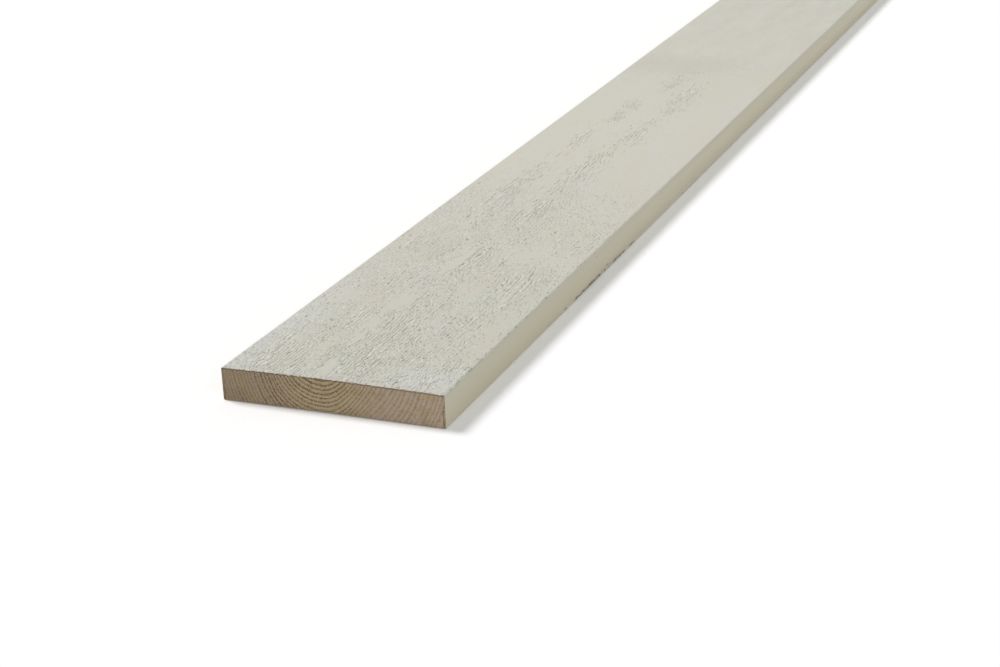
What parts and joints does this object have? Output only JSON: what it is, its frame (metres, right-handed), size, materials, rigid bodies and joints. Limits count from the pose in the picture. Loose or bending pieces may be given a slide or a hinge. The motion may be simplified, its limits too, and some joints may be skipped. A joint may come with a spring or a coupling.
{
  "type": "rectangular cladding board",
  "caption": "Straight painted softwood board of plain rectangular section with eased long corners and square-cut ends, for lapped outdoor wall cladding.",
  "frame": {"origin": "centre of the back face, where the board lies on a floor or against battens", "axes": "+X across the width, +Y along the length away from the pictured end, +Z out of the weather face"},
  "size_m": [0.145, 3, 0.022],
  "materials": {
    "painted_spruce": "matte"
  },
  "bodies": {
    "root": {"board": "painted_spruce"}
  },
  "joints": []
}
